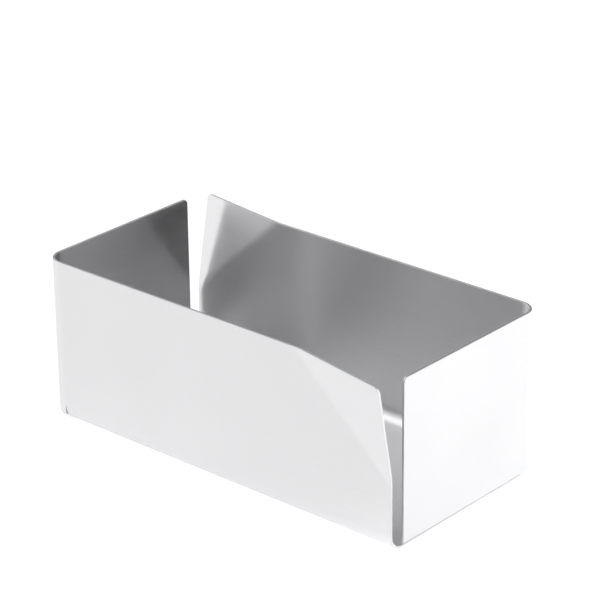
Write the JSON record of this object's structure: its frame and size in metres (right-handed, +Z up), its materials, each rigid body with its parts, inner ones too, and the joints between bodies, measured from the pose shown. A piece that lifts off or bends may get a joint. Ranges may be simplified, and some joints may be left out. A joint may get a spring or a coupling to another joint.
{
  "type": "sugar packet holder",
  "caption": "Open oblong tabletop tray of folded brushed steel sheet with slit, outward-folded corners, for holding sugar packets upright.",
  "frame": {"origin": "on the underside of the base, at the middle of the holder", "axes": "+X along the long walls towards the right end wall, +Y towards the back wall, +Z up out of the open top"},
  "size_m": [0.133, 0.074, 0.0521],
  "materials": {
    "brushed_stainless": "fine brushed satin, grain along the walls"
  },
  "bodies": {
    "root": {"base_panel": "brushed_stainless", "front_wall": "brushed_stainless", "back_wall": "brushed_stainless", "left_end_wall": "brushed_stainless", "right_end_wall": "brushed_stainless", "front_base_bend": "brushed_stainless", "back_base_bend": "brushed_stainless", "front_left_corner_bend": "brushed_stainless", "back_right_corner_bend": "brushed_stainless", "front_flare_bend": "brushed_stainless", "back_flare_bend": "brushed_stainless", "front_flared_corner": "brushed_stainless", "back_flared_corner": "brushed_stainless"}
  },
  "joints": []
}
